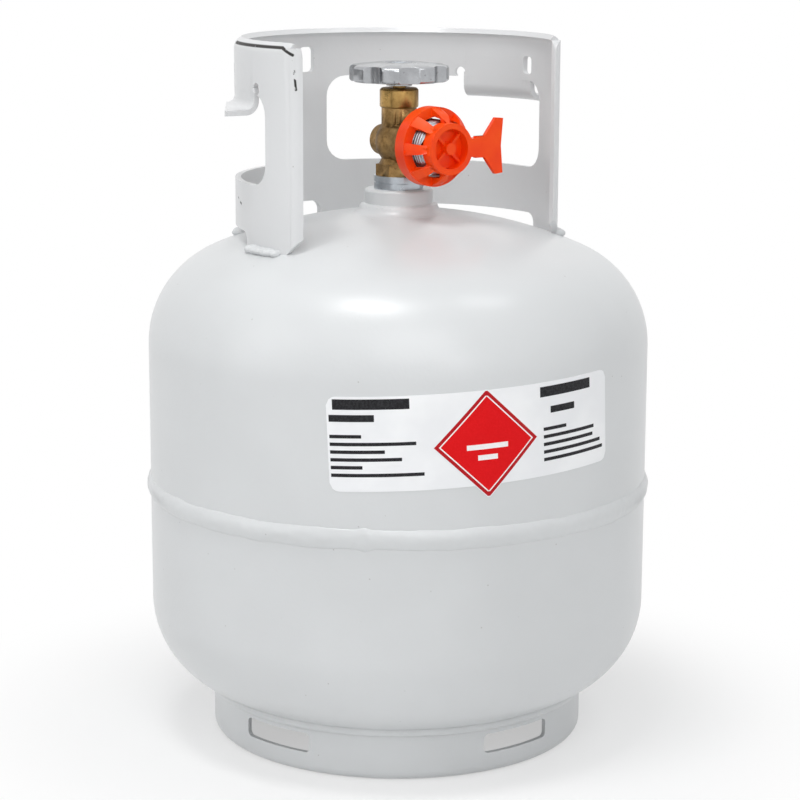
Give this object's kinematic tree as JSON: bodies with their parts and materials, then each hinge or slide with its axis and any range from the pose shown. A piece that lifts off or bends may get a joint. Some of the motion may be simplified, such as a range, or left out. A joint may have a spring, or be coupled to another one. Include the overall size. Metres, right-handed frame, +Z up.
{
  "type": "gas cylinder",
  "caption": "Refillable steel gas cylinder with a welded foot ring, a guard collar with hand-holds, a brass valve with a lobed handwheel and a pull-off outlet cap.",
  "frame": {"origin": "centre of the foot ring's lower edge, on the floor", "axes": "+Z up along the vessel's axis; the outlet points along -Y, the collar is open towards -Y; +X to the right seen from the front"},
  "size_m": [0.3146, 0.3146, 0.4346],
  "materials": {
    "grey_paint": "semi-gloss light grey paint with slight orange peel and a few small chips",
    "collar_paint": "semi-gloss light grey paint, chipped along the rolled rim",
    "sticker_print": "white film with plain fields of red and dark grey",
    "brass": "forged and turned brass, slightly dull",
    "plated_steel": "zinc plated, satin",
    "cast_alloy": "grey die-cast alloy with small pits",
    "orange_plastic": "moulded orange plastic",
    "black_rubber": "moulded nitrile rubber",
    "pale_plastic": "moulded acetal",
    "dark_foam": "closed-cell moulded float"
  },
  "bodies": {
    "vessel": {"upper_shell": "grey_paint", "lower_shell": "grey_paint", "girth_weld": "grey_paint", "foot_ring": "grey_paint", "foot_ring_weld": "grey_paint", "collar": "collar_paint", "collar_welds": "grey_paint", "sticker": "sticker_print", "valve_boss": "grey_paint", "boss_weld": "grey_paint", "wrench_collar": "plated_steel", "valve_body": "brass", "outlet_nipple": "plated_steel", "outlet_seal": "black_rubber", "check_spring": "plated_steel", "relief_spring": "plated_steel", "relief_retainer": "brass", "bonnet_nut": "brass", "stop_housing": "pale_plastic", "level_tube": "brass", "arm_pin": "plated_steel"},
    "handwheel": {"handwheel": "cast_alloy", "handwheel_screw": "plated_steel", "upper_spindle": "brass", "spindle_ring": "black_rubber"},
    "threaded_plug": {"lower_spindle": "brass", "seat_disc": "black_rubber"},
    "outlet_cap": {"outlet_cap": "orange_plastic"},
    "check": {"check_poppet": "brass"},
    "relief": {"relief_poppet": "black_rubber"},
    "bleeder": {"bleeder_screw": "brass"},
    "float": {"float_arm": "plated_steel", "float": "dark_foam"},
    "stop": {"stop_plunger": "plated_steel"}
  },
  "joints": [
    {"name": "handwheel_turn", "type": "hinge", "parent": "vessel", "child": "handwheel", "pos_m": [0, 0, 0.41], "axis": [0, 0, 1], "range_deg": [0, 720]},
    {"name": "plug_lift", "type": "slide", "parent": "handwheel", "child": "threaded_plug", "axis": [0, 0, 1], "range_m": [0, 0.0035]},
    {"name": "cap_pull", "type": "slide", "parent": "vessel", "child": "outlet_cap", "axis": [0, -1, 0], "range_m": [0, 0.05]},
    {"name": "check_push", "type": "slide", "parent": "vessel", "child": "check", "axis": [0, 1, 0], "range_m": [0, 0.0018], "stiffness_N_per_m": 150, "springref_m": -0.002, "deforming": ["check_spring"]},
    {"name": "relief_lift", "type": "slide", "parent": "vessel", "child": "relief", "axis": [0, 1, 0], "range_m": [0, 0.0015], "stiffness_N_per_m": 300, "springref_m": -0.003, "deforming": ["relief_spring"]},
    {"name": "bleeder_turn", "type": "hinge", "parent": "vessel", "child": "bleeder", "pos_m": [0.0175, 0, 0.3705], "axis": [1, 0, 0], "range_deg": [0, 720]},
    {"name": "float_swing", "type": "hinge", "parent": "vessel", "child": "float", "pos_m": [0, 0, 0.285], "axis": [-1, 0, 0], "range_deg": [0, 40]},
    {"name": "stop_rise", "type": "slide", "parent": "vessel", "child": "stop", "axis": [0, 0, 1], "range_m": [0, 0.0032]}
  ],
  "couplings": [
    {"joint": "plug_lift", "follows": "handwheel_turn", "m_per_rad": 0.00027852},
    {"joint": "stop_rise", "follows": "float_swing", "m_per_rad": 0.004}
  ]
}
